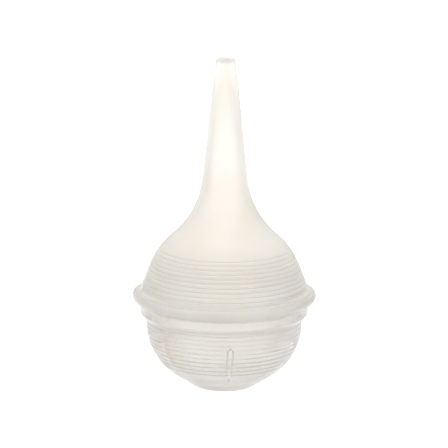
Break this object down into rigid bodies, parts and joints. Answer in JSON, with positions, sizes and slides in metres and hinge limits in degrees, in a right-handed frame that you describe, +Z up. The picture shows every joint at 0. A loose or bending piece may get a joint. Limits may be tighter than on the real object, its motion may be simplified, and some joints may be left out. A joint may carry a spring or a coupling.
{
  "type": "nasal aspirator",
  "caption": "Bulb aspirator with a long hollow nozzle on a round shoulder, a finger flange and a ribbed squeeze cup; the cup squeezes in and the halves pull apart.",
  "frame": {"origin": "centre of the underside of the foot", "axes": "+Z up through the nozzle, along the part's own axis; +X and +Y across, with the pictured side at -Y"},
  "size_m": [0.0553, 0.0552, 0.1],
  "materials": {
    "nozzle_plastic": "milky translucent, soft satin",
    "cup_plastic": "milky translucent, soft satin"
  },
  "bodies": {
    "cup": {"cup_rim": "cup_plastic", "cup_wall": "cup_plastic"},
    "nozzle": {"nozzle_half": "nozzle_plastic"},
    "pad": {"thumb_pad": "cup_plastic"}
  },
  "joints": [
    {"name": "pull_apart", "type": "slide", "parent": "cup", "child": "nozzle", "axis": [0, 0, 1], "range_m": [0, 0.03]},
    {"name": "squeeze", "type": "slide", "parent": "cup", "child": "pad", "axis": [0, 0, 1], "range_m": [0, 0.01], "stiffness_N_per_m": 900, "deforming": ["cup_wall"]}
  ]
}
